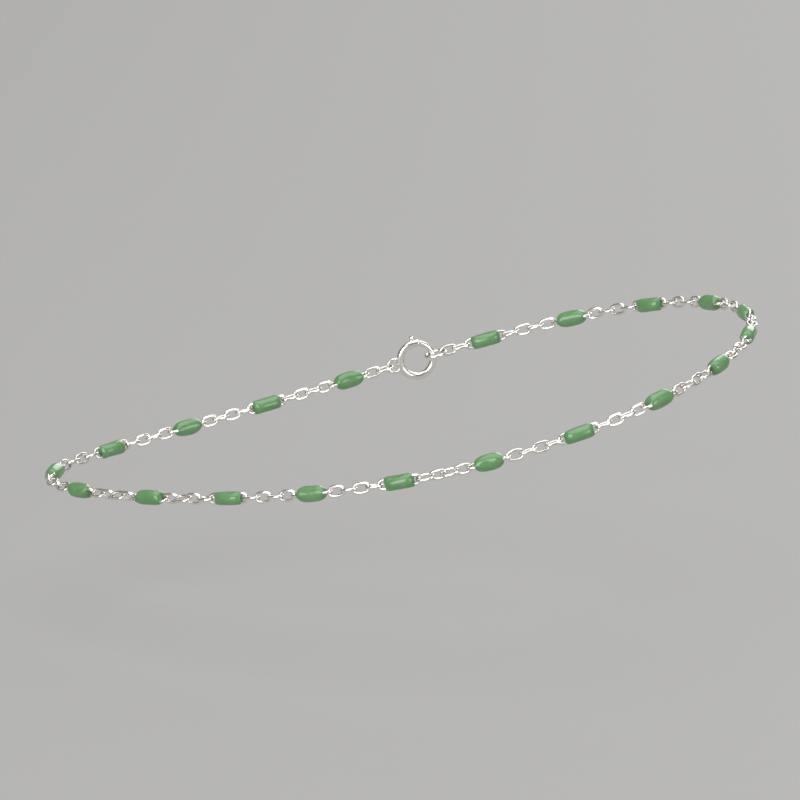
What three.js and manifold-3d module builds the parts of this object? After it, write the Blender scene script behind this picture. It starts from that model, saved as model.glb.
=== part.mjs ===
// A fine silver cable-chain anklet with a green enamel bead over every seventh link, closed by a
// spring ring. It keeps the loop that it has round a right ankle.
// Millimetres. +X points to the toes, +Y to the inner side of the ankle and +Z up the leg.
import * as THREE from "three";
import { mergeVertices } from "three/addons/utils/BufferGeometryUtils.js";
import Module from "manifold-3d";

const wasm = await Module();
wasm.setup();

// Chain links, measured outside
const wire_diameter = 0.36;
const link_length = 2.27;
const link_width = 1.46;
const link_bow = 0.02; // how far a link's sides bow out at their middle
const joint_bite = 0.02; // how deep a link is let into the next, which makes a strand one solid
const links_per_bead = 7; // the middle one of the seven is inside the bead
const bead_count = 20;

// Enamel beads
const enamel_wall = 0.17; // enamel over the sides of the link that it covers
const enamel_overrun = 0.67; // enamel past each end of that link
const bead_tip_diameter = 1.24; // across the flat ends, where the chain comes out
const bead_shoulder = 0.5; // how far from its ends a bead starts to round off
const core_diameter = 0.2; // the plain core that stands for the hidden link
const bead_gap = 0.13; // between a bead and the chain

// Clasp
const clasp_diameter = 5.0;
const clasp_tube_diameter = 0.9;
const clasp_knob_diameter = 0.6;
const clasp_knob_height = 0.5; // above the tube
const eye_diameter = 2.0;
const end_ring_diameter = 2.8;
const catch_gap = 0.15; // between pieces that hook into each other

// Loop round the ankle, at the chain's middle
const loop_width = 57; // from the outer to the inner side
const front_lift = 18.9; // how much higher the chain lies on the shin than over the heel
const side_sag = 2.7; // how much lower it hangs at the sides
const heel_taper = 0.34; // share by which the loop narrows to the heel and widens to the shin
const loop_point = 0.02; // share by which shin and heel are more pointed than on an ellipse
const clasp_bearing = 87; // degrees round the loop from the shin, towards the inner side

// Roll of the chain about itself, in degrees, at a bead counted from the clasp over the heel
const chain_roll = [
  { bead: 1, roll: 0 },
  { bead: 3, roll: 10 },
  { bead: 5, roll: 31 },
  { bead: 7, roll: 31 },
  { bead: 8, roll: -4 },
  { bead: 9, roll: -10 },
  { bead: 10, roll: -6 },
  { bead: 10.5, roll: 30 },
  { bead: 11, roll: -6 },
  { bead: 12, roll: -10 },
  { bead: 15, roll: 10 },
  { bead: 18, roll: 0 },
  { bead: 20, roll: 0 },
];

// Facets
const wire_sides = 5;
const link_end_turns = 3; // how many times a link's wire turns at each end
const bead_sides = 10;
const core_sides = 4;
const ring_steps = 12;
const ring_sides = 6;

const silver = new THREE.MeshStandardMaterial({
  color: 0xe2e0da,
  metalness: 1,
  roughness: 0.18,
});
const green_enamel = new THREE.MeshStandardMaterial({
  color: 0x5c8f59,
  metalness: 0,
  roughness: 0.22,
});

// Links. The reach runs from a link's middle to the middle of its wire.
const wire_radius = wire_diameter / 2;
const link_reach = link_length / 2 - wire_radius;
const link_half_width = link_width / 2 - wire_radius;
const link_pitch = 2 * (link_reach - wire_radius) + joint_bite;
const loose_pitch = 2 * (link_reach - wire_radius) - catch_gap;
const link_count = bead_count * links_per_bead;
const strand_links = links_per_bead * Math.floor(bead_count / 2);
const bead_length = link_length + 2 * enamel_overrun;
const bead_diameter = link_width + 2 * enamel_wall;

// The rings of the clasp lie in a line, each with its wire inside the next one's hole. Their places
// are measured along that line from the middle of the chain's last link.
const hook_radius = link_half_width - link_bow - wire_radius - catch_gap;
const eye_radius = eye_diameter / 2 - hook_radius;
const clasp_radius = (clasp_diameter - clasp_tube_diameter) / 2;
const end_ring_radius = end_ring_diameter / 2 - hook_radius;
const end_ring_place =
  link_reach - wire_radius + end_ring_radius - hook_radius - catch_gap;
const clasp_place =
  end_ring_place +
  (end_ring_radius - hook_radius) +
  (clasp_radius - clasp_tube_diameter / 2) -
  catch_gap;
const eye_place = clasp_place + clasp_radius + eye_radius;
const clasp_span =
  eye_place +
  (eye_radius - hook_radius) +
  (link_reach - wire_radius) -
  catch_gap;

// The closed line that the chain's middle follows. It starts in the middle of the clasp.
class AnkleLoop extends THREE.Curve {
  constructor(half_depth) {
    super();
    this.half_depth = half_depth;
    this.arcLengthDivisions = 1440;
  }
  getPoint(t, target = new THREE.Vector3()) {
    const bearing = THREE.MathUtils.degToRad(clasp_bearing) + 2 * Math.PI * t;
    const along = Math.cos(bearing);
    const across = Math.sin(bearing);
    return target.set(
      this.half_depth * (along + loop_point * Math.cos(3 * bearing)),
      (loop_width / 2) * across * (1 + heel_taper * along),
      (front_lift / 2) * along + side_sag * (0.5 - across * across),
    );
  }
}

// The chain's own length sets how far the loop reaches from shin to heel.
function loopOfLength(length) {
  let low = loop_width / 8;
  let high = length / 2;
  for (let halving = 0; halving < 40; halving += 1) {
    const middle = (low + high) / 2;
    if (new AnkleLoop(middle).getLength() < length) low = middle;
    else high = middle;
  }
  return new AnkleLoop((low + high) / 2);
}

// Where a link's middle lies along the chain. The two strands hook into each other with a gap.
function linkPlace(index) {
  const slack = index < strand_links ? 0 : link_pitch - loose_pitch;
  return index * link_pitch - slack;
}
const loop_length = linkPlace(link_count - 1) + clasp_span;
const loop = loopOfLength(loop_length);

// The chain's own roll at a link, between the two nearest rows of the table.
function rollAt(index) {
  const bead = (index + 0.5) / links_per_bead + 0.5;
  const after = chain_roll.findIndex((row) => row.bead > bead);
  if (after === 0) return chain_roll[0].roll;
  if (after < 0) return chain_roll.at(-1).roll;
  const [from, to] = [chain_roll[after - 1], chain_roll[after]];
  return THREE.MathUtils.lerp(
    from.roll,
    to.roll,
    THREE.MathUtils.smoothstep(bead, from.bead, to.bead),
  );
}

// A frame with X along the chain and Z away from the leg, then rolled about X.
function frame(point, along, roll = 0) {
  const outward = new THREE.Vector3(along.y, -along.x, 0).normalize();
  const across = new THREE.Vector3().crossVectors(outward, along);
  return new THREE.Matrix4()
    .makeBasis(along, across, outward)
    .setPosition(point)
    .multiply(new THREE.Matrix4().makeRotationX(THREE.MathUtils.degToRad(roll)));
}

// An even link stands on edge against the leg, and an odd one lies flat on it.
function linkFrame(index) {
  const share = (linkPlace(index) + clasp_span / 2) / loop_length;
  const turned = index % 2 === 0 ? 90 : 0;
  return frame(
    loop.getPointAt(share),
    loop.getTangentAt(share),
    turned + rollAt(index),
  );
}

// The point on a link's own line at a distance from its middle.
function pointOnLink(index, distance) {
  return new THREE.Vector3(distance, 0, 0).applyMatrix4(linkFrame(index));
}

// The straight line between two points, as a frame at its start and a length.
function lineBetween(start, end) {
  const along = end.clone().sub(start);
  const length = along.length();
  return { length, matrix: frame(start, along.normalize()) };
}

function moved(matrix, x, y = 0) {
  return matrix.clone().multiply(new THREE.Matrix4().makeTranslation(x, y, 0));
}

function solidFrom(geometry, matrix) {
  const plain = geometry.clone().applyMatrix4(matrix);
  plain.deleteAttribute("normal");
  plain.deleteAttribute("uv");
  const merged = mergeVertices(plain, 1e-5);
  return new wasm.Manifold(
    new wasm.Mesh({
      numProp: 3,
      vertProperties: merged.attributes.position.array,
      triVerts: new Uint32Array(merged.index.array),
    }),
  );
}

function meshFrom(name, solid, material) {
  const made = solid.getMesh();
  const geometry = new THREE.BufferGeometry();
  geometry.setAttribute(
    "position",
    new THREE.BufferAttribute(made.vertProperties, 3),
  );
  geometry.setIndex(new THREE.BufferAttribute(made.triVerts, 1));
  geometry.computeVertexNormals();
  return named(name, new THREE.Mesh(geometry, material));
}

function named(name, mesh) {
  mesh.name = name;
  return mesh;
}

// The sections of a link's wire, in order round the link: where each stands in the XY plane, which
// way it faces and how much wider it is cut than the wire, because it is cut at a slant.
function linkSections() {
  const end_radius = link_half_width - link_bow;
  const straight = link_reach - end_radius;
  const turn = Math.PI / (link_end_turns + 1);
  const slant = 1 / Math.cos(turn / 2);
  const sections = [];
  for (const end of [1, -1]) {
    for (let step = 0; step <= link_end_turns; step += 1) {
      const angle = turn * (step - link_end_turns / 2);
      const out = new THREE.Vector2(end * Math.cos(angle), end * Math.sin(angle));
      const at = out.clone().multiplyScalar(end_radius * slant);
      at.x += end * straight;
      sections.push({ at, out, slant });
    }
    const out = new THREE.Vector2(0, end);
    const at = out.clone().multiplyScalar(link_half_width);
    sections.push({ at, out, slant: 1 });
  }
  return sections;
}

// One link along X. A corner of the wire's section points inwards, where the next link pulls.
function linkGeometry() {
  const sections = linkSections();
  const positions = [];
  const triangles = [];
  sections.forEach(({ at, out, slant }, section) => {
    const next = (section + 1) % sections.length;
    for (let side = 0; side < wire_sides; side += 1) {
      const angle = Math.PI + (2 * Math.PI * side) / wire_sides;
      const proud = wire_radius * slant * Math.cos(angle);
      positions.push(at.x + proud * out.x, at.y + proud * out.y);
      positions.push(wire_radius * Math.sin(angle));
      const other = (side + 1) % wire_sides;
      const [a, b] = [section * wire_sides + side, next * wire_sides + side];
      const [c, d] = [next * wire_sides + other, section * wire_sides + other];
      triangles.push(a, b, c, a, c, d);
    }
  });
  const geometry = new THREE.BufferGeometry();
  geometry.setAttribute(
    "position",
    new THREE.Float32BufferAttribute(positions, 3),
  );
  geometry.setIndex(triangles);
  return geometry;
}

const link_geometry = linkGeometry();
const covered_link = Math.floor(links_per_bead / 2);

// A bead lies on the straight line between the two whole links nearest to it.
function beadLine(bead) {
  const middle = bead * links_per_bead + covered_link;
  return lineBetween(
    pointOnLink(middle - 2, link_reach),
    pointOnLink(middle + 2, -link_reach),
  );
}
function beadFrame(bead) {
  const { length, matrix } = beadLine(bead);
  return moved(matrix, length / 2);
}

// Cylinders of three.js stand along Y, and the pieces on the chain lie along X.
function coreSolid(bead) {
  const radius = core_diameter / 2;
  const { length } = beadLine(bead);
  const core = new THREE.CylinderGeometry(radius, radius, length, core_sides);
  return solidFrom(core.rotateZ(-Math.PI / 2), beadFrame(bead));
}

// The room that a bead takes out of the half-covered links at its ends.
function beadRoom(bead) {
  const across = bead_diameter + 2 * bead_gap;
  const room = new THREE.BoxGeometry(
    bead_length + 2 * bead_gap,
    across,
    across,
  );
  return solidFrom(room, beadFrame(bead));
}

// A strand of the chain, from its first link to the one before its end.
function strand(name, first, end) {
  const links = [];
  const rooms = [];
  const cores = [];
  for (let index = first; index < end; index += 1) {
    if (index % links_per_bead !== covered_link) {
      links.push(solidFrom(link_geometry, linkFrame(index)));
      continue;
    }
    const bead = Math.floor(index / links_per_bead);
    rooms.push(beadRoom(bead));
    cores.push(coreSolid(bead));
  }
  const cut = wasm.Manifold.union(links).subtract(wasm.Manifold.union(rooms));
  return meshFrom(name, wasm.Manifold.union([cut, ...cores]), silver);
}

// A barrel of enamel, drilled for the core. Its profile closes on itself round the hole.
function beadMesh(bead) {
  const end = bead_length / 2;
  const shoulder = end - bead_shoulder;
  const hole = core_diameter / 2 + bead_gap;
  const tip = bead_tip_diameter / 2;
  const side = bead_diameter / 2;
  const profile = [
    new THREE.Vector2(hole, -end),
    new THREE.Vector2(tip, -end),
    new THREE.Vector2(side, -shoulder),
    new THREE.Vector2(side, shoulder),
    new THREE.Vector2(tip, end),
    new THREE.Vector2(hole, end),
    new THREE.Vector2(hole, -end),
  ];
  const barrel = new THREE.LatheGeometry(profile, bead_sides);
  const mesh = new THREE.Mesh(barrel.rotateZ(-Math.PI / 2), green_enamel);
  mesh.applyMatrix4(beadFrame(bead));
  return named("bead_" + String(bead + 1).padStart(2, "0"), mesh);
}

function ringGeometry(radius, tube_radius) {
  return new THREE.TorusGeometry(radius, tube_radius, ring_sides, ring_steps);
}

// The small ring at one end of the chain stands on edge, through the spring ring.
function endRingMesh(matrix) {
  const ring = ringGeometry(end_ring_radius, hook_radius).rotateX(Math.PI / 2);
  const mesh = new THREE.Mesh(ring, silver);
  mesh.applyMatrix4(moved(matrix, end_ring_place));
  return named("end_ring", mesh);
}

// The spring ring lies flat on the leg: a thick ring, its knob, and the eye of the chain's other end.
function claspMesh(matrix) {
  const knob_height = clasp_tube_diameter / 2 + clasp_knob_height;
  const knob = new THREE.CylinderGeometry(
    clasp_knob_diameter / 2,
    clasp_knob_diameter / 2,
    knob_height,
    ring_sides,
  );
  const pieces = [
    solidFrom(
      ringGeometry(clasp_radius, clasp_tube_diameter / 2),
      moved(matrix, clasp_place),
    ),
    solidFrom(ringGeometry(eye_radius, hook_radius), moved(matrix, eye_place)),
    solidFrom(knob, moved(matrix, clasp_place, clasp_radius + knob_height / 2)),
  ];
  return meshFrom("clasp", wasm.Manifold.union(pieces), silver);
}

const anklet = new THREE.Group();
anklet.name = "anklet";
anklet.add(strand("chain_heel_side", 0, strand_links));
anklet.add(strand("chain_shin_side", strand_links, link_count));
for (let bead = 0; bead < bead_count; bead += 1) anklet.add(beadMesh(bead));

// The clasp closes the straight gap between the chain's last link and its first.
const closing = lineBetween(pointOnLink(link_count - 1, 0), pointOnLink(0, 0));
anklet.add(endRingMesh(closing.matrix));
anklet.add(claspMesh(closing.matrix));

export default anklet;
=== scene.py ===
"""A beaded anklet: a fine silver cable chain with a barrel of green enamel over every seventh link.

The chain is a closed loop of 140 soldered links, fastened by a spring ring. X points to the toes,
Y to the inner side of the ankle and Z up the leg. Lengths are in metres, written as so many MM.
"""

import math
from collections import namedtuple

import bpy
import numpy as np
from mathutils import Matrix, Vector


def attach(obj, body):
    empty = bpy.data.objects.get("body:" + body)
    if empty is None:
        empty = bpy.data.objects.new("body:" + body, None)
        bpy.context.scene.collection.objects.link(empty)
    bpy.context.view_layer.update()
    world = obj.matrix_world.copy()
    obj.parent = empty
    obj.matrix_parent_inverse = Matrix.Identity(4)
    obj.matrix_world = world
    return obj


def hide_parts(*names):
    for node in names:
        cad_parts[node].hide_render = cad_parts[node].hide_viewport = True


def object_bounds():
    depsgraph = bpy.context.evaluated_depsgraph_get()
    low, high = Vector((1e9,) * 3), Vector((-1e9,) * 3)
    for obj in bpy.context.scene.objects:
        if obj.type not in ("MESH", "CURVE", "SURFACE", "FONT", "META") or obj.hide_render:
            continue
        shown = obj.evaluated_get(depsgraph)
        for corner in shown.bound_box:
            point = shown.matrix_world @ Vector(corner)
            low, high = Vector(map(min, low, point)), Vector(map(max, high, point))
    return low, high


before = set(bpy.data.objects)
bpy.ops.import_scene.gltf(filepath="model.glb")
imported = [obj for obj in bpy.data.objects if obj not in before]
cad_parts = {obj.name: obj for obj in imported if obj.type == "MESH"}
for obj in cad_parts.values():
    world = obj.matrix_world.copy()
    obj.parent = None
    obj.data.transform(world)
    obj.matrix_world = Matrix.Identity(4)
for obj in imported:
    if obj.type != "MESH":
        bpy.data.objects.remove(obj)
cad_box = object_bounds()

MM = 0.001
FULL_TURN = 2 * math.pi

# Chain links, measured outside
LINK_LENGTH = 2.27 * MM
LINK_WIDTH = 1.46 * MM
LINK_PITCH = 1.57 * MM  # from one link's middle to the next one's
LOOSE_PITCH = 1.40 * MM  # the same where the two strands hook into each other
LINKS_PER_BEAD = 7
WIRE_DIAMETER = (LINK_LENGTH - LINK_PITCH) / 2  # so that pulled links just touch
SOLDER_SWELL = 0.14  # share by which the wire is thicker at a link's soldered joint
SOLDER_FADE = 0.9  # how far that swelling fades along the wire, as a multiple of its radius
WIRE_WAVER = 0.012  # share by which the wire's radius wavers
OVAL_FIRMNESS = 2.6  # the higher, the straighter a link's sides
LINK_SPREAD = (0.012, 0.05, 0.02)  # how much links differ in width, as a share, roll and tilt
LINK_SEED = 40

# Enamel beads
BEAD_NODES = sorted(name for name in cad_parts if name.startswith("bead_"))
BEAD_LENGTH = 3.61 * MM
BEAD_DIAMETER = 1.8 * MM
BARREL_POWER = 7  # the higher, the nearer to its tips a bead keeps its girth
BARREL_EDGE = 0.4  # the lower, the squarer its ends
BARREL_SWELL = 0.04  # share by which its girth falls from the middle to the tips
POINTED_POWER_LOSS = 2.2  # how much lower the power is on a pointed bead
POINTED_SWELL = 0.09  # how much further the girth falls on a pointed bead
MIDDLE_OVAL = 0.07  # share by which a bead's middle is wider over the link that it covers
OVAL_CHANGE = 0.23  # how far this turns round at the tips, to be wider across the wires there
BEAD_LEAN = 0.018  # share by which one half of a bead is thicker than the other
BEAD_WAVE = 0.010  # share by which its surface waves
BEAD_SPREAD = 0.025  # share by which beads differ in length and girth
BEAD_SPREAD_MOST = 1.6  # the widest difference, as a multiple of that
BEAD_SEED = 20
CREEP_HEIGHT = 0.13 * MM  # how far the enamel crept up the wires at a bead's tips
CREEP_REACH = 0.24 * MM
CREEP_START = 0.7  # where it starts, as a share of half the bead's length
CREEP_RISE = 0.2  # over what share it rises to its height

# How much each bead narrows to its tips, from a plain barrel at 0 to a pointed one at 1, in order
BEAD_POINTED = (
    (0.4, 0.2, 0.6, 0.3)
    + (0.5, 0.8, 0.1, 1.0, 0.3, 0.2)
    + (0.6, 0.9, 0.3, 0.6, 0.5, 0.4)
    + (0.2, 0.6, 0.3, 0.5)
)

# Clasp, whose places are measured along the line from the chain's last link to its first
CLASP_SPAN = 8.15 * MM
CLASP_PLACE = 4.075 * MM
CLASP_RADIUS = 2.05 * MM
CLASP_TUBE_DIAMETER = 0.9 * MM
CLASP_TUBE_ARC = (-192, 112)  # degrees from the eye
CLASP_BOLT_DIAMETER = 0.66 * MM
CLASP_BOLT_ARC = (100, 178)
CLASP_LIP = 0.16 * MM  # how long the rounding at an end of the tube or the bolt is
CLASP_LIP_NARROWING = 0.55  # share by which the end is narrower than the rest
CLASP_NECK_DIAMETER = 0.4 * MM
CLASP_KNOB_DIAMETER = 0.6 * MM
CLASP_KNOB_FOOT = 2.55 * MM  # from the clasp's middle, like the next one
CLASP_KNOB_TOP = 3.0 * MM
CLASP_KNOB_FLARE = 0.12 * MM
CLASP_KNOB_RIM = 0.1 * MM
EYE_PLACE = 6.925 * MM
EYE_RADIUS = 0.8 * MM
EYE_SOLDER_SWELL = 0.5
EYE_SOLDER_TURN = 1.02  # how far round the eye its solder reaches to each side, in radians
END_RING_PLACE = 1.625 * MM
END_RING_RADIUS = 1.2 * MM
END_RING_SOLDER_SWELL = 0.1
RING_WIRE_DIAMETER = 0.4 * MM

# Loop round the ankle, at the chain's middle
LOOP_WIDTH = 57 * MM
FRONT_LIFT = 18.9 * MM  # how much higher the chain lies on the shin than over the heel
SIDE_SAG = 2.7 * MM  # how much lower it hangs at the sides
HEEL_TAPER = 0.34  # share by which the loop narrows to the heel
LOOP_POINT = 0.02  # share by which shin and heel are more pointed than on an ellipse
CLASP_BEARING = 87  # degrees round the loop from the shin

# Roll of the chain about itself, in degrees, at a bead counted from the clasp over the heel
ROLL_BEAD = (1, 3, 5, 7, 8, 9, 10, 10.5, 11, 12, 15, 18, 20)
ROLL_ANGLE = (0, 10, 31, 31, -4, -10, -6, 30, -6, -10, 10, 0, 0)

# Rows along a mesh and columns round it
LINK_GRID = (20, 10)
RING_GRID = (56, 16)
BEAD_GRID = (33, 40)
TUBE_GRID = (72, 20)
BOLT_GRID = (20, 20)
LIP_ROWS = 6
KNOB_COLUMNS = 24

# Colours of silver, of its film of tarnish darkened as painted shade, of enamel and of the floor
SILVER = (0.955, 0.925, 0.875, 1)
# Tarnish, darkened beyond the real film so that it also paints the shade in the links' hollows
TARNISH_AND_SHADE = (0.14, 0.12, 0.10, 1)
ENAMEL_DEEP = (0.038, 0.122, 0.038, 1)
ENAMEL_BODY = (0.098, 0.252, 0.088, 1)
ENAMEL_PALE = (0.165, 0.355, 0.150, 1)
FLOOR_GREY = (0.38, 0.377, 0.37, 1)

# Patterns of the finishes, by the length of their cells and by their depth
TARNISH_AND_SHADE_CELL = 1.4 * MM
SCRATCH_CELLS = (1.1 * MM, 0.07 * MM, 0.07 * MM)  # long along the wire
SCRATCH_DEPTH = 0.004 * MM
SCRATCH_SHIFT = 3 * MM  # from link to link, so that each has scratches of its own
DENT_CELL = 0.38 * MM
DENT_DEPTH = 0.02 * MM
CLOUD_CELL = 1.1 * MM
GRAIN_CELL = 0.11 * MM
BATCH_CELL = 17 * MM  # a few beads long, so that beads differ in tone
RIPPLE_CELL = 0.67 * MM
RIPPLE_DEPTH = 0.03 * MM

# Where the film of tarnish and painted shade lies
TARNISH_AND_SHADE_ON_SIDES = 0.25  # how much of it a link's sides have, as a share of its ends
TARNISH_AND_SHADE_ON_LIPS = 0.8
TARNISH_AND_SHADE_INSIDE_TUBE = 0.55  # the higher, the narrower the strip of it on the tube's inner side

# Studio, in metres, degrees and watts
FLOOR_DROP = 14 * MM  # from the loop's lowest point
FLOOR_REACH = 3.0
FLOOR_ROUGHNESS = 0.7
CAMERA_DISTANCE = 1.1
CAMERA_ELEVATION = 14
CAMERA_LENS = 418  # in millimetres, like the next one
CAMERA_SENSOR = 36
CAMERA_CLIP_START = 0.05
SURROUND_COLOUR = (1, 0.985, 0.955, 1)
SURROUND_STRENGTH = 0.22

# Soft boxes: name, place, width and power
SOFT_BOXES = (
    ("top_light", (0.0, 0.0, 1.0), 1.2, 8),
    ("key_light", (-0.6, -0.95, 0.42), 0.8, 9),
    ("fill_light", (0.85, -0.7, 0.2), 0.6, 4.2),
    ("back_light", (0.3, 0.9, 0.45), 0.6, 3.2),
)

LINK_COUNT = len(BEAD_NODES) * LINKS_PER_BEAD
STRAND_LINKS = LINK_COUNT // 2
LINK_REACH = (LINK_LENGTH - WIRE_DIAMETER) / 2
LINK_HALF_WIDTH = (LINK_WIDTH - WIRE_DIAMETER) / 2
CHAIN_LENGTH = (LINK_COUNT - 2) * LINK_PITCH + LOOSE_PITCH
LOOP_LENGTH = CHAIN_LENGTH + CLASP_SPAN
COVERED = np.arange(len(BEAD_NODES)) * LINKS_PER_BEAD + LINKS_PER_BEAD // 2


# Meshes from grids of points

Shell = namedtuple("Shell", "points faces attributes")


def quads(rows, columns, closed):
    """Quads of a grid whose columns close round, and whose rows close too on a ring.

    They face outwards where columns run anticlockwise, seen in the direction in which rows follow.
    """
    row = np.arange(rows if closed else rows - 1)[:, None]
    column = np.arange(columns)[None, :]
    here, ahead = row * columns, (row + 1) % rows * columns
    beside = (column + 1) % columns
    corners = (here + column, ahead + column, ahead + beside, here + beside)
    return np.stack(corners, axis=-1).reshape(-1, 4)


def caps(rows, columns):
    """Triangles from the two poles, which follow the grid's points, to its first and last rows."""
    column = np.arange(columns)
    beside = (column + 1) % columns
    pole = np.full(columns, rows * columns)
    last = (rows - 1) * columns
    start = np.stack((pole, column, beside), axis=-1)
    end = np.stack((pole + 1, last + beside, last + column), axis=-1)
    return np.concatenate((start, end))


def ring_shell(grid, attributes):
    """A shell from a grid that closes both ways, as on a torus."""
    rows, columns = grid.shape[:2]
    values = {key: value.reshape(rows * columns, -1) for key, value in attributes.items()}
    return Shell(grid.reshape(-1, 3), [quads(rows, columns, True)], values)


def capped_shell(grid, attributes, poles):
    """A shell from a grid whose ends close on a pole, which takes the end row's mean attributes."""
    rows, columns = grid.shape[:2]
    values = {}
    for key, value in attributes.items():
        by_row = value.reshape(rows, columns, -1)
        end_means = by_row[[0, -1]].mean(axis=1)
        values[key] = np.concatenate((value.reshape(rows * columns, -1), end_means))
    faces = [quads(rows, columns, False), caps(rows, columns)]
    return Shell(np.concatenate((grid.reshape(-1, 3), poles)), faces, values)


def moved(shell, middle, axes):
    """A shell given along its own axes, moved to its place."""
    return shell._replace(points=shell.points @ axes + middle)


def make_piece(name, shells, material, node):
    """A piece from closed shells, which stands for a node."""
    points, faces = [], []
    count = 0
    for shell in shells:
        for part in shell.faces:
            faces.extend((part + count).tolist())
        points.append(shell.points)
        count += len(shell.points)
    mesh = bpy.data.meshes.new(name)
    mesh.from_pydata(np.concatenate(points).tolist(), [], faces)
    for key in shells[0].attributes:
        value = np.concatenate([shell.attributes[key] for shell in shells])
        kind, field = ("FLOAT", "value") if value.shape[1] == 1 else ("FLOAT_VECTOR", "vector")
        mesh.attributes.new(key, kind, "POINT").data.foreach_set(field, value.ravel())
    mesh.shade_smooth()
    mesh.materials.append(material)
    piece = bpy.data.objects.new(name, mesh)
    bpy.context.scene.collection.objects.link(piece)
    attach(piece, "root")
    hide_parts(node)


# The loop that the chain follows

def loop_points(turns, half_depth):
    """The chain's middle line, where turns runs from 0 at the clasp, over the heel, to 1.

    Seen from above it is an ellipse that narrows to the heel and is a little pointed at both ends.
    Its height falls evenly from shin to heel and sags at the sides.
    """
    bearing = math.radians(CLASP_BEARING) + FULL_TURN * turns
    along, across = np.cos(bearing), np.sin(bearing)
    x = half_depth * (along + LOOP_POINT * np.cos(3 * bearing))
    y = LOOP_WIDTH / 2 * across * (1 + HEEL_TAPER * along)
    z = FRONT_LIFT / 2 * along + SIDE_SAG * (0.5 - across**2)
    return np.stack((x, y, z), axis=-1)


def measured_loop(half_depth, steps=1440):
    """How far along the loop each of its even steps of turns lies, as two arrays."""
    turns = np.linspace(0, 1, steps + 1)
    strides = np.linalg.norm(np.diff(loop_points(turns, half_depth), axis=0), axis=1)
    return turns, np.concatenate(([0], np.cumsum(strides)))


def half_depth_for(length, halvings=40):
    """Half the loop's reach from shin to heel, found by halving until the loop has this length."""
    low, high = LOOP_WIDTH / 8, length / 2
    for _ in range(halvings):
        middle = (low + high) / 2
        if measured_loop(middle)[1][-1] < length:
            low = middle
        else:
            high = middle
    return (low + high) / 2


def unit(vectors):
    """The vectors at a length of 1."""
    return vectors / np.linalg.norm(vectors, axis=-1, keepdims=True)


def frames(along, roll):
    """Axes with X along the chain, Y across it and Z away from the leg, then rolled about X.

    The result has a 3 by 3 block for each line, with its X, Y and Z axes as rows.
    """
    outward = unit(np.stack((along[:, 1], -along[:, 0], 0 * along[:, 0]), axis=-1))
    across = np.cross(outward, along)
    cosine, sine = np.cos(roll)[:, None], np.sin(roll)[:, None]
    return np.stack(
        (along, cosine * across + sine * outward, cosine * outward - sine * across), axis=1
    )


def chain_roll(link):
    """The chain's own roll at a link, eased between the two nearest rows of the table."""
    bead = np.clip((link + 0.5) / LINKS_PER_BEAD + 0.5, ROLL_BEAD[0], ROLL_BEAD[-1])
    row = np.clip(np.searchsorted(ROLL_BEAD, bead, side="right") - 1, 0, len(ROLL_BEAD) - 2)
    start, end = np.take(ROLL_BEAD, row), np.take(ROLL_BEAD, row + 1)
    share = (bead - start) / (end - start)
    ease = share * share * (3 - 2 * share)
    roll = np.take(ROLL_ANGLE, row) * (1 - ease) + np.take(ROLL_ANGLE, row + 1) * ease
    return np.radians(roll)


def link_rolls():
    """An even link stands on edge against the leg, and an odd one lies flat on it."""
    link = np.arange(LINK_COUNT)
    return np.where(link % 2 == 0, math.pi / 2, 0) + chain_roll(link)


def chain_places():
    """Middle and axes of every link, in its place on the loop."""
    link = np.arange(LINK_COUNT)
    slack = np.where(link < STRAND_LINKS, 0, LINK_PITCH - LOOSE_PITCH)
    place = link * LINK_PITCH - slack + CLASP_SPAN / 2
    half_depth = half_depth_for(LOOP_LENGTH)
    turns, lengths = measured_loop(half_depth)
    turn = np.interp(place / LOOP_LENGTH * lengths[-1], lengths, turns)
    step = 0.0001
    ahead = loop_points(turn + step, half_depth)
    behind = loop_points(turn - step, half_depth)
    return loop_points(turn, half_depth), frames(unit(ahead - behind), link_rolls())


def bead_places(middles, axes):
    """Middle, axes and length of each bead's line.

    It runs between the facing ends of the two whole links nearest to the bead.
    """
    start = middles[COVERED - 2] + LINK_REACH * axes[COVERED - 2, 0]
    end = middles[COVERED + 2] - LINK_REACH * axes[COVERED + 2, 0]
    length = np.linalg.norm(end - start, axis=1)
    return (start + end) / 2, frames(unit(end - start), chain_roll(COVERED)), length


def pull_straight(middles, axes, beads):
    """Turns the three links that a bead grips into its line. Their neighbours stay."""
    bead_middles, bead_axes, lengths = beads
    rolls = link_rolls()
    for side in (-1, 0, 1):
        gripped = COVERED + side
        offset = side * (lengths / 2 + WIRE_DIAMETER - LINK_REACH)
        middles[gripped] = bead_middles + offset[:, None] * bead_axes[:, 0]
        axes[gripped] = frames(bead_axes[:, 0], rolls[gripped])


# Silver links and rings

def oval_path(reach, half_width, stations):
    """A link's middle line in the XY plane, as turns, points and outward normals.

    It is a circle of half_width, whose two halves are drawn apart along X by a smooth step, the
    hyperbolic tangent of the cosine times the firmness, so that its sides run nearly straight.
    """
    firmness = OVAL_FIRMNESS
    turn = np.linspace(0, FULL_TURN, stations, endpoint=False)
    cosine, sine = np.cos(turn), np.sin(turn)
    stretch = (reach - half_width) / math.tanh(firmness)
    x = half_width * cosine + stretch * np.tanh(firmness * cosine)
    slope_x = -sine * (half_width + stretch * firmness / np.cosh(firmness * cosine) ** 2)
    normal = unit(np.stack((half_width * cosine, -slope_x), axis=-1))
    return turn, np.stack((x, half_width * sine), axis=-1), normal


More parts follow.
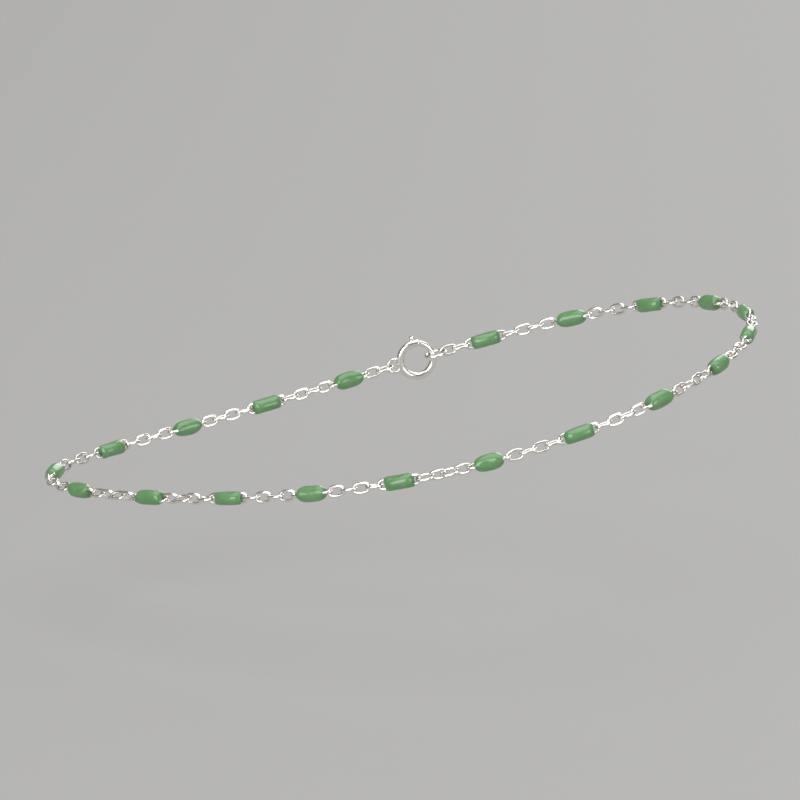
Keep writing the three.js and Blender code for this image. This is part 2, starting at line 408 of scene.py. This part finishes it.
def wire_loop(reach, half_width, wire_diameter, grid, seam, seam_turn=FULL_TURN / 4, solder_turn=0):
    """A closed wire in the XY plane round the oval path, as a grid of points and attributes.

    Its section is a circle in the plane of the outward normal and Z. The radius swells by the
    share seam within solder_turn of seam_turn, past which the swelling fades as a bell curve, and
    it wavers a little, as a sine that runs twice round the loop. wire_lie is the place on the wire
    as if it were straight, and the mask of tarnish and painted shade is 1 on the inner side of
    the ends.
    """
    stations, sides = grid
    turn, path, normal = oval_path(reach, half_width, stations)
    radius = wire_diameter / 2
    from_solder = np.clip(np.abs(turn - seam_turn) - solder_turn, 0, None) * half_width
    solder = seam * np.exp(-((from_solder / (SOLDER_FADE * radius)) ** 2))
    waver = WIRE_WAVER * np.sin(2 * turn + 1)
    section = (radius * (1 + solder + waver))[:, None]
    around = np.linspace(0, FULL_TURN, sides, endpoint=False)
    out, up = section * np.cos(around), section * np.sin(around)
    points = np.stack(
        (path[:, :1] + normal[:, :1] * out, path[:, 1:] + normal[:, 1:] * out, up), axis=-1
    )
    distance = turn[:, None] * (reach + half_width) / 2 + 0 * out
    # Painted shade, with some tarnish, darkest on the inner side of the link's ends
    inner = np.clip(-np.cos(around), 0, 1)
    ends = TARNISH_AND_SHADE_ON_SIDES + (1 - TARNISH_AND_SHADE_ON_SIDES) * np.abs(np.cos(turn))[:, None] ** 3
    return points, {"wire_lie": np.stack((distance, out, up), axis=-1), "tarnish_and_shade_mask": inner * ends}


def turn_about(axis, angle):
    """A turn about X, Y or Z, numbered 0 to 2, for points that are rows."""
    first, second = (axis + 1) % 3, (axis + 2) % 3
    turn = np.eye(3)
    turn[first, first] = turn[second, second] = math.cos(angle)
    turn[first, second] = math.sin(angle)
    turn[second, first] = -math.sin(angle)
    return turn


def link_shells(first, end, middles, axes):
    """The links of one strand. Each differs a little in width, roll and tilt, as real ones do.

    A link's soldered joint lies on one of its long sides, picked by chance.
    """
    chance = np.random.default_rng(LINK_SEED + first)
    shells = []
    for link in range(first, end):
        width, roll, tilt = chance.normal(size=3) * LINK_SPREAD
        half_width = LINK_HALF_WIDTH * (1 + width)
        grid, attributes = wire_loop(LINK_REACH, half_width, WIRE_DIAMETER, LINK_GRID, SOLDER_SWELL)
        attributes["wire_lie"] += SCRATCH_SHIFT * link
        side_turn = turn_about(0, chance.choice((math.pi, 0)))
        turns = side_turn @ turn_about(0, roll) @ turn_about(1, tilt)
        shells.append(moved(ring_shell(grid @ turns, attributes), middles[link], axes[link]))
    return shells


# Enamel beads

def surface_normals(grid):
    """Outward unit normals of a closed-round grid, from the differences between its neighbours."""
    round_it = np.roll(grid, -1, axis=1) - np.roll(grid, 1, axis=1)
    along_it = np.gradient(grid, axis=0)
    return unit(np.cross(along_it, round_it))


def nearness_to_wires(y, z, exit_angle):
    """1 at either of the two wires that come out of a bead's tip, fading as a bell curve."""
    nearness = 0 * y
    for side in (0, math.pi):
        wire_y = LINK_HALF_WIDTH * math.cos(exit_angle + side)
        wire_z = LINK_HALF_WIDTH * math.sin(exit_angle + side)
        nearness += np.exp(-((np.hypot(y - wire_y, z - wire_z) / CREEP_REACH) ** 2))
    return nearness


def bead_shell(length, diameter, exit_angle, pointed, chance):
    """A barrel of enamel along X, as rings of points with a pole at each end.

    With s from 0 in the middle to 1 at the tips, its radius falls as 1 - s to the barrel's power,
    all that to the power of its edge, and as 1 - s * s times its swell. On a pointed bead the power
    is lower and the swell stronger. The section is oval by the cosine of twice the angle: in the
    middle it is wider over the sides of the covered link, and towards the tips it is wider across
    the two wires that come out there. Slow waves round and along the bead make it uneven, as enamel
    that set by itself is. Round each wire the surface is then pushed outwards by a bell curve of
    the distance to the wire, where the enamel crept up it.
    """
    rings, sides = BEAD_GRID
    run = np.linspace(-1, 1, rings + 2)[1:-1]
    share = np.sin(run * math.pi / 2)[:, None]
    from_middle = np.abs(share)
    around = np.linspace(0, -FULL_TURN, sides, endpoint=False)[None, :]
    power = BARREL_POWER - POINTED_POWER_LOSS * pointed
    swell = BARREL_SWELL + POINTED_SWELL * pointed
    barrel = (1 - from_middle**power) ** BARREL_EDGE * (1 - swell * share**2)
    oval = 1 + (OVAL_CHANGE * from_middle**3 - MIDDLE_OVAL) * np.cos(2 * (around - exit_angle))
    waves = 1 + chance.normal() * BEAD_LEAN * share
    for order in (1, 2, 3):
        phase, twist = chance.uniform(0, FULL_TURN, 2)
        waves = waves + BEAD_WAVE * np.cos(order * around + phase + twist * share)
    radius = diameter / 2 * barrel * oval * waves
    y, z = radius * np.cos(around), radius * np.sin(around)
    grid = np.stack((length / 2 * share + 0 * y, y, z), axis=-1)
    at_tip = np.clip((from_middle - CREEP_START) / CREEP_RISE, 0, 1)
    creep = CREEP_HEIGHT * at_tip * nearness_to_wires(y, z, exit_angle)
    grid = grid + creep[..., None] * surface_normals(grid)
    poles = np.array(((-length / 2, 0, 0), (length / 2, 0, 0)))
    return capped_shell(grid, {"tip": from_middle**6 + 0 * y}, poles)


# Clasp

def bent_rod(radius, diameter, arc, grid):
    """A round rod bent along an arc in the XY plane, from one angle to the other, in degrees.

    Both ends close with a quarter-round lip: over its length the section narrows as 1 less the
    square root of 1 - s * s, and a pole closes it. Rows lie closer together on the lips. The mask
    of tarnish and painted shade is high on the lips, and on a strip of the inner side.
    """
    rows, sides = grid
    start, end = np.radians(arc)
    span = (end - start) * radius
    lip_steps = CLASP_LIP * np.sin(np.linspace(0, math.pi / 2, LIP_ROWS + 1)[:-1])
    body_steps = np.linspace(CLASP_LIP, span - CLASP_LIP, rows)[1:-1]
    along = np.concatenate((CLASP_LIP - lip_steps[::-1], body_steps, span - CLASP_LIP + lip_steps))
    into_lip = np.clip(1 - np.minimum(along, span - along) / CLASP_LIP, 0, 1)
    narrowing = CLASP_LIP_NARROWING * (1 - np.sqrt(1 - into_lip**2))
    section = (diameter / 2 * (1 - narrowing))[:, None]
    angle = (start + along / radius)[:, None]
    around = np.linspace(0, FULL_TURN, sides, endpoint=False)[None, :]
    out, up = section * np.cos(around), section * np.sin(around)
    points = np.stack(((radius + out) * np.cos(angle), (radius + out) * np.sin(angle), up), axis=-1)
    lie = np.stack((along[:, None] + 0 * out, out, up), axis=-1)
    # Painted shade, with some tarnish, on a strip of the tube's inner side and on its lips
    inner = np.clip(-np.cos(around) - TARNISH_AND_SHADE_INSIDE_TUBE, 0, 1)
    tarnish_and_shade_mask = np.maximum(inner, TARNISH_AND_SHADE_ON_LIPS * into_lip[:, None])
    ends = np.array((start, end))
    poles = np.stack((radius * np.cos(ends), radius * np.sin(ends), 0 * ends), axis=-1)
    return capped_shell(points, {"wire_lie": lie, "tarnish_and_shade_mask": tarnish_and_shade_mask}, poles)


def turned_peg(height, radius):
    """A peg turned about Y, from the heights and radii of its rows, with flat ends."""
    height, radius = np.array(height)[:, None], np.array(radius)[:, None]
    around = np.linspace(0, FULL_TURN, KNOB_COLUMNS, endpoint=False)[None, :]
    x, z = radius * np.cos(around), radius * np.sin(around)
    points = np.stack((x, height + 0 * x, z), axis=-1)
    poles = np.array(((0, height[0, 0], 0), (0, height[-1, 0], 0)))
    return capped_shell(points, {"wire_lie": points, "tarnish_and_shade_mask": 0 * x}, poles)


def clasp_knob():
    """The bolt's knob: a neck that comes out of the tube, a flare and a button with a round rim.

    Each row has its height and its radius.
    """
    neck, button = CLASP_NECK_DIAMETER / 2, CLASP_KNOB_DIAMETER / 2
    foot, top, rim = CLASP_KNOB_FOOT, CLASP_KNOB_TOP, CLASP_KNOB_RIM
    rows = (
        (CLASP_RADIUS, neck),
        (foot, neck),
        (foot + CLASP_KNOB_FLARE / 2, button - 0.1 * rim),
        (foot + CLASP_KNOB_FLARE, button),
        (top - rim, button),
        (top - 0.4 * rim, button - 0.3 * rim),
        (top - 0.1 * rim, button - rim),
        (top, button - 2 * rim),
    )
    return turned_peg(*zip(*rows))


# Materials

def add_node(tree, kind, inputs=None, **settings):
    """A node with its settings, each input given as a number, a colour or another node's output."""
    made = tree.nodes.new(kind)
    for key, value in settings.items():
        setattr(made, key, value)
    for key, value in (inputs or {}).items():
        if isinstance(value, bpy.types.NodeSocket):
            tree.links.new(value, made.inputs[key])
        else:
            made.inputs[key].default_value = value
    return made


def noise(tree, vector, cell, detail=2.0, roughness=0.5):
    """Noise whose cells have this length."""
    inputs = {"Vector": vector, "Scale": 1 / cell, "Detail": detail, "Roughness": roughness}
    return add_node(tree, "ShaderNodeTexNoise", inputs).outputs[0]


def remap(tree, value, source, target):
    """The value, with the source range stretched to the target range and held at both ends."""
    inputs = {
        "Value": value,
        "From Min": source[0],
        "From Max": source[1],
        "To Min": target[0],
        "To Max": target[1],
    }
    return add_node(tree, "ShaderNodeMapRange", inputs).outputs[0]


def mix_colours(tree, factor, first, second):
    """Two colours mixed. Their sockets on the node are the seventh and the eighth."""
    inputs = {0: factor, 6: first, 7: second}
    return add_node(tree, "ShaderNodeMix", inputs, data_type="RGBA").outputs[2]


def calculate(tree, operation, first, second):
    """One sum or product of two values."""
    inputs = {0: first, 1: second}
    return add_node(tree, "ShaderNodeMath", inputs, operation=operation).outputs[0]


def in_cells(tree, vector, cells):
    """The vector, counted in cells of these lengths along X, Y and Z."""
    inputs = {"Vector": vector, "Scale": [1 / cell for cell in cells]}
    return add_node(tree, "ShaderNodeMapping", inputs).outputs[0]


def bump(tree, height, depth, strength, **under):
    """A normal bumped by a height between 0 and 1 that stands for this depth."""
    inputs = {"Height": height, "Distance": depth, "Strength": strength, **under}
    return add_node(tree, "ShaderNodeBump", inputs).outputs[0]


def mesh_attribute(tree, name, output):
    """What a piece's own mesh holds under this name."""
    return add_node(tree, "ShaderNodeAttribute", attribute_name=name).outputs[output]


def new_material(name, colour):
    """A material, its tree and its shader, ready for the finish."""
    material = bpy.data.materials.new(name)
    material.use_nodes = True
    material.diffuse_color = colour
    return material, material.node_tree, material.node_tree.nodes["Principled BSDF"]


def polished_silver(name, scratch_strength):
    """Bright silver with fine scratches along the wire, soft dents and a dark film of tarnish and
    painted shade in the hollows.
    """
    material, tree, shader = new_material(name, SILVER)
    place = add_node(tree, "ShaderNodeTexCoord").outputs["Object"]
    lie = mesh_attribute(tree, "wire_lie", "Vector")
    patches = noise(tree, place, TARNISH_AND_SHADE_CELL, 3)
    streaks = noise(tree, in_cells(tree, lie, SCRATCH_CELLS), 1, 3)
    patchy = remap(tree, patches, (0.35, 0.65), (0.35, 0.9))
    # Tarnish mixed in where the mask is high, darkened to paint the shade in the hollows
    tarnish_and_shade = calculate(tree, "MULTIPLY", mesh_attribute(tree, "tarnish_and_shade_mask", "Fac"), patchy)
    tree.links.new(mix_colours(tree, tarnish_and_shade, SILVER, TARNISH_AND_SHADE), shader.inputs["Base Color"])
    gloss = remap(tree, streaks, (0.3, 0.7), (0.10, 0.22))
    dull = calculate(tree, "MULTIPLY", tarnish_and_shade, 0.25)
    tree.links.new(calculate(tree, "ADD", gloss, dull), shader.inputs["Roughness"])
    dents = bump(tree, noise(tree, place, DENT_CELL), DENT_DEPTH, 0.5)
    scratches = bump(tree, streaks, SCRATCH_DEPTH, scratch_strength, Normal=dents)
    tree.links.new(scratches, shader.inputs["Normal"])
    shader.inputs["Metallic"].default_value = 1
    return material


def green_enamel():
    """Glossy green enamel with slow pale clouds and dark grains, deeper in tone at the tips."""
    material, tree, shader = new_material("green_enamel", ENAMEL_BODY)
    place = add_node(tree, "ShaderNodeTexCoord").outputs["Object"]
    clouds = noise(tree, place, CLOUD_CELL, 3, 0.55)
    grains = noise(tree, place, GRAIN_CELL)
    from_bead_to_bead = noise(tree, place, BATCH_CELL, 1)
    cloudy = remap(tree, clouds, (0.3, 0.7), (0.0, 0.55))
    batch = remap(tree, from_bead_to_bead, (0.35, 0.65), (-0.12, 0.12))
    body = mix_colours(tree, calculate(tree, "ADD", cloudy, batch), ENAMEL_BODY, ENAMEL_PALE)
    speckled = mix_colours(tree, remap(tree, grains, (0.62, 0.78), (0.0, 0.35)), body, ENAMEL_DEEP)
    tip = calculate(tree, "MULTIPLY", mesh_attribute(tree, "tip", "Fac"), 0.35)
    tree.links.new(mix_colours(tree, tip, speckled, ENAMEL_DEEP), shader.inputs["Base Color"])
    gloss = remap(tree, clouds, (0.3, 0.7), (0.34, 0.46))
    tree.links.new(gloss, shader.inputs["Roughness"])
    ripples = bump(tree, noise(tree, place, RIPPLE_CELL), RIPPLE_DEPTH, 0.6)
    tree.links.new(ripples, shader.inputs["Normal"])
    tree.links.new(ripples, shader.inputs["Coat Normal"])
    shader.inputs["Subsurface Weight"].default_value = 0.15
    shader.inputs["Subsurface Radius"].default_value = (0.5, 1.0, 0.6)
    shader.inputs["Subsurface Scale"].default_value = 0.25 * MM
    shader.inputs["Coat Weight"].default_value = 0.7
    shader.inputs["Coat Roughness"].default_value = 0.09
    shader.inputs["Coat IOR"].default_value = 1.55
    return material


# The anklet's pieces

def make_chain(middles, axes, silver):
    """Both strands of links, which hook into each other halfway from the clasp."""
    heel_links = link_shells(0, STRAND_LINKS, middles, axes)
    shin_links = link_shells(STRAND_LINKS, LINK_COUNT, middles, axes)
    make_piece("silver_links_heel_side", heel_links, silver, "chain_heel_side")
    make_piece("silver_links_shin_side", shin_links, silver, "chain_shin_side")


def make_beads(beads, enamel):
    """The beads, each a little different in size and form."""
    chance = np.random.default_rng(BEAD_SEED)
    exit_angles = link_rolls()[COVERED + 1] - chain_roll(COVERED)
    for node, middle, axes, exit_angle, pointed in zip(
        BEAD_NODES, beads[0], beads[1], exit_angles, BEAD_POINTED
    ):
        spread = BEAD_SPREAD * np.clip(chance.normal(size=2), -BEAD_SPREAD_MOST, BEAD_SPREAD_MOST)
        length, diameter = (1 + spread) * (BEAD_LENGTH, BEAD_DIAMETER)
        shell = bead_shell(length, diameter, exit_angle, pointed, chance)
        make_piece("enamel_" + node, [moved(shell, middle, axes)], enamel, node)


def make_clasp(start, axes, silver):
    """The spring ring's tube, its bolt with the knob, and its soldered eye."""
    middle = start + CLASP_PLACE * axes[0]
    tube = bent_rod(CLASP_RADIUS, CLASP_TUBE_DIAMETER, CLASP_TUBE_ARC, TUBE_GRID)
    bolt = bent_rod(CLASP_RADIUS, CLASP_BOLT_DIAMETER, CLASP_BOLT_ARC, BOLT_GRID)
    eye = wire_loop(
        EYE_RADIUS,
        EYE_RADIUS,
        RING_WIRE_DIAMETER,
        RING_GRID,
        EYE_SOLDER_SWELL,
        math.pi,
        EYE_SOLDER_TURN,
    )
    bolt_shells = [moved(bolt, middle, axes), moved(clasp_knob(), middle, axes)]
    eye_shell = moved(ring_shell(*eye), start + EYE_PLACE * axes[0], axes)
    make_piece("clasp_tube", [moved(tube, middle, axes)], silver, "clasp")
    make_piece("clasp_bolt", bolt_shells, silver, "clasp")
    make_piece("clasp_eye", [eye_shell], silver, "clasp")


def make_end_ring(start, axes, silver):
    """The small ring that the spring ring catches, which stands on edge between its neighbours."""
    ring = wire_loop(
        END_RING_RADIUS, END_RING_RADIUS, RING_WIRE_DIAMETER, RING_GRID, END_RING_SOLDER_SWELL
    )
    on_edge = turn_about(0, math.pi / 2) @ axes
    shell = moved(ring_shell(*ring), start + END_RING_PLACE * axes[0], on_edge)
    make_piece("closing_ring", [shell], silver, "end_ring")


# Floor, light and camera

def aim(place, target):
    """The turn that points a lamp or a camera from its place to the target, upright."""
    x, y, z = (end - start for start, end in zip(place, target))
    return (math.atan2(math.hypot(x, y), -z), 0, math.atan2(-x, y))


def soft_light(name, place, target, width, power):
    """A square soft box that faces the target."""
    light = bpy.data.lights.new(name, "AREA")
    light.shape = "SQUARE"
    light.size = width
    light.energy = power
    lamp = bpy.data.objects.new(name, light)
    lamp.location = place
    lamp.rotation_euler = aim(place, target)
    bpy.context.scene.collection.objects.link(lamp)


def make_floor(height):
    """A plain pale floor."""
    material, _, shader = new_material("pale_floor", FLOOR_GREY)
    shader.inputs["Base Color"].default_value = FLOOR_GREY
    shader.inputs["Roughness"].default_value = FLOOR_ROUGHNESS
    corners = [(-1, -1), (1, -1), (1, 1), (-1, 1)]
    points = [(x * FLOOR_REACH, y * FLOOR_REACH, height) for x, y in corners]
    mesh = bpy.data.meshes.new("floor")
    mesh.from_pydata(points, [], [(0, 1, 2, 3)])
    mesh.materials.append(material)
    floor = bpy.data.objects.new("floor", mesh)
    bpy.context.scene.collection.objects.link(floor)


def light_studio(target):
    """Four large soft boxes in an even surround."""
    for name, place, width, power in SOFT_BOXES:
        soft_light(name, place, target, width, power)
    world = bpy.data.worlds.new("studio")
    world.use_nodes = True
    surround = world.node_tree.nodes["Background"]
    surround.inputs["Color"].default_value = SURROUND_COLOUR
    surround.inputs["Strength"].default_value = SURROUND_STRENGTH
    bpy.context.scene.world = world
    bpy.context.scene.view_settings.view_transform = "Standard"


def place_camera(target):
    """A long lens at the photograph's angle, square to the ankle's outer side."""
    elevation = math.radians(CAMERA_ELEVATION)
    lens = bpy.data.cameras.new("camera")
    lens.sensor_width = CAMERA_SENSOR
    lens.lens = CAMERA_LENS
    lens.clip_start = CAMERA_CLIP_START
    camera = bpy.data.objects.new("camera", lens)
    back, up = CAMERA_DISTANCE * math.cos(elevation), CAMERA_DISTANCE * math.sin(elevation)
    camera.location = (target[0], target[1] - back, target[2] + up)
    camera.rotation_euler = aim(camera.location, target)
    bpy.context.scene.collection.objects.link(camera)
    bpy.context.scene.camera = camera


middles, axes = chain_places()
beads = bead_places(middles, axes)
closing_start, closing_end = middles[-1].copy(), middles[0].copy()
closing_axes = frames(unit(closing_end - closing_start)[None, :], np.zeros(1))[0]
pull_straight(middles, axes, beads)

clasp_silver = polished_silver("clasp_silver", scratch_strength=0.4)
wire_silver = polished_silver("silver_wire", scratch_strength=0.7)
make_chain(middles, axes, wire_silver)
make_beads(beads, green_enamel())
make_clasp(closing_start, closing_axes, clasp_silver)
make_end_ring(closing_start, closing_axes, clasp_silver)

box_middle = tuple((low + high) / 2 for low, high in zip(*cad_box))
make_floor(cad_box[0].z - FLOOR_DROP)
light_studio(box_middle)
place_camera(box_middle)
